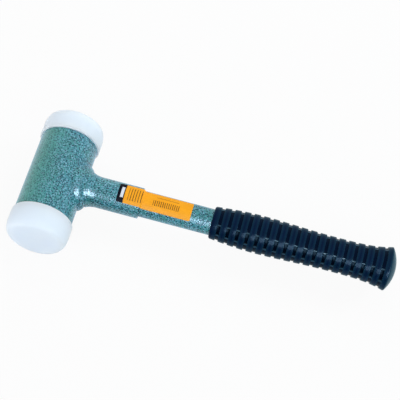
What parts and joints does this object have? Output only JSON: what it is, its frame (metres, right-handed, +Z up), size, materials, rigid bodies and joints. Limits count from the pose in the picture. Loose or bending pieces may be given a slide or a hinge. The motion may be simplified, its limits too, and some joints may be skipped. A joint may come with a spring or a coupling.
{
  "type": "dead blow hammer",
  "caption": "Recoilless hammer with a shot-filled steel tube head, two replaceable white plastic faces, a welded tube handle and a ribbed rubber grip.",
  "frame": {"origin": "on the resting surface, under the middle of the hammer as it lies flat", "axes": "+X along the handle from the head to the butt, +Y along the head's axis to the rear face, +Z up"},
  "size_m": [0.3046, 0.113, 0.05],
  "materials": {
    "paint": "blue-green hammertone paint, semi-gloss",
    "nylon": "moulded white nylon, satin",
    "rubber": "moulded black rubber, satin",
    "sticker": "printed orange film with a black end band",
    "steel": "bare steel"
  },
  "bodies": {
    "hammer": {"head_tube": "paint", "neck_socket": "paint", "neck_weld": "paint", "handle_tube": "paint", "grip_sleeve": "rubber", "label": "sticker", "chamber_disc_front": "steel", "chamber_disc_rear": "steel"},
    "front_insert": {"face_insert_front": "nylon"},
    "rear_insert": {"face_insert_rear": "nylon"},
    "shot_charge": {"shot_01": "steel", "shot_02": "steel", "shot_03": "steel", "shot_04": "steel", "shot_05": "steel", "shot_06": "steel", "shot_07": "steel", "shot_08": "steel", "shot_09": "steel", "shot_10": "steel", "shot_11": "steel", "shot_12": "steel", "shot_13": "steel", "shot_14": "steel", "shot_15": "steel", "shot_16": "steel", "shot_17": "steel", "shot_18": "steel", "shot_19": "steel", "shot_20": "steel", "shot_21": "steel", "shot_22": "steel", "shot_23": "steel", "shot_24": "steel", "shot_25": "steel", "shot_26": "steel", "shot_27": "steel", "shot_28": "steel", "shot_29": "steel", "shot_30": "steel", "shot_31": "steel", "shot_32": "steel", "shot_33": "steel", "shot_34": "steel", "shot_35": "steel", "shot_36": "steel"}
  },
  "joints": [
    {"name": "shot_slide", "type": "slide", "parent": "hammer", "child": "shot_charge", "axis": [0, 1, 0], "range_m": [-0.0047, 0.0047]},
    {"name": "front_insert_pull", "type": "slide", "parent": "hammer", "child": "front_insert", "axis": [0, -1, 0], "range_m": [0, 0.012]},
    {"name": "rear_insert_pull", "type": "slide", "parent": "hammer", "child": "rear_insert", "axis": [0, 1, 0], "range_m": [0, 0.012]}
  ]
}
